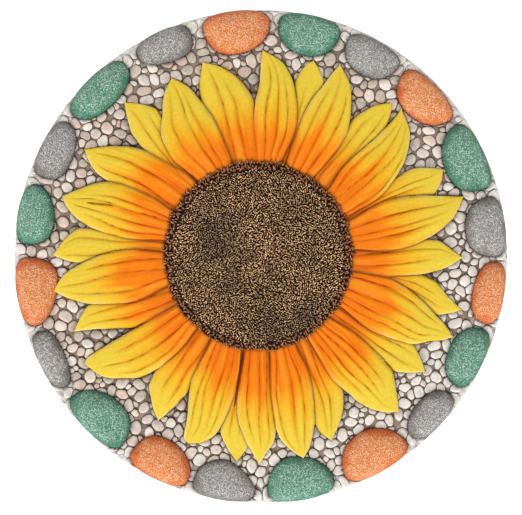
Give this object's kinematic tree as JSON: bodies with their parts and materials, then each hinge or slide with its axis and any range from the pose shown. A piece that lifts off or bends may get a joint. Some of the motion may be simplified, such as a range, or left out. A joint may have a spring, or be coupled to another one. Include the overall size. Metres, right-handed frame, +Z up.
{
  "type": "garden stepping stone",
  "caption": "Round cast stepping stone with a painted sunflower in relief, a ring of rounded pebbles flush with the rim and a flat underside to lie on the ground.",
  "frame": {"origin": "centre of the flat underside", "axes": "+Z up out of the decorated face, +Y towards the top of the decoration, +X to its right"},
  "size_m": [0.254, 0.254, 0.025],
  "materials": {
    "cast_stone": "cast concrete with a pebbly beige bed",
    "petal_paint": "matt yellow to orange paint on cast concrete",
    "seed_paint": "matt dark brown paint, drybrushed tan, on cast concrete",
    "pebble_green": "sandy sea-green paint on cast concrete",
    "pebble_orange": "sandy orange paint on cast concrete",
    "pebble_grey": "sandy grey paint on cast concrete",
    "gravel": "beige pebbly bed with a brown wash"
  },
  "bodies": {
    "root": {"stepping_stone": "cast_stone"}
  },
  "joints": []
}
